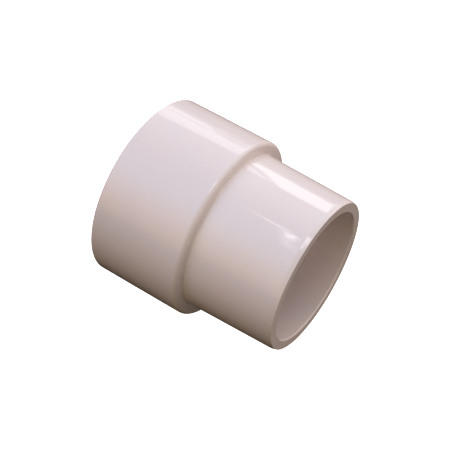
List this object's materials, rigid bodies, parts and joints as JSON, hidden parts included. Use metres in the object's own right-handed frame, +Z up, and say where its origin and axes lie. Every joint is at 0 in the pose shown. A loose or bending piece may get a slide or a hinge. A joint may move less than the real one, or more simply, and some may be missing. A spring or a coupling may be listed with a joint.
{
  "type": "reducing coupling",
  "caption": "White moulded plastic reducing coupling: a wide socket barrel steps down at a rounded shoulder to a narrower, slightly tapered socket barrel.",
  "frame": {"origin": "on the pipe axis, halfway between the two rims; the fitting lies on its side, so the surface it lies on is one large-barrel radius below the origin", "axes": "+X along the pipe axis, from the large socket towards the small socket; +Z up; +Y completes the right-handed set"},
  "size_m": [0.0704, 0.068, 0.068],
  "materials": {
    "white_pvc": "moulded glossy white PVC, faintly warm and pinkish"
  },
  "bodies": {
    "root": {"coupling_body": "white_pvc"}
  },
  "joints": []
}
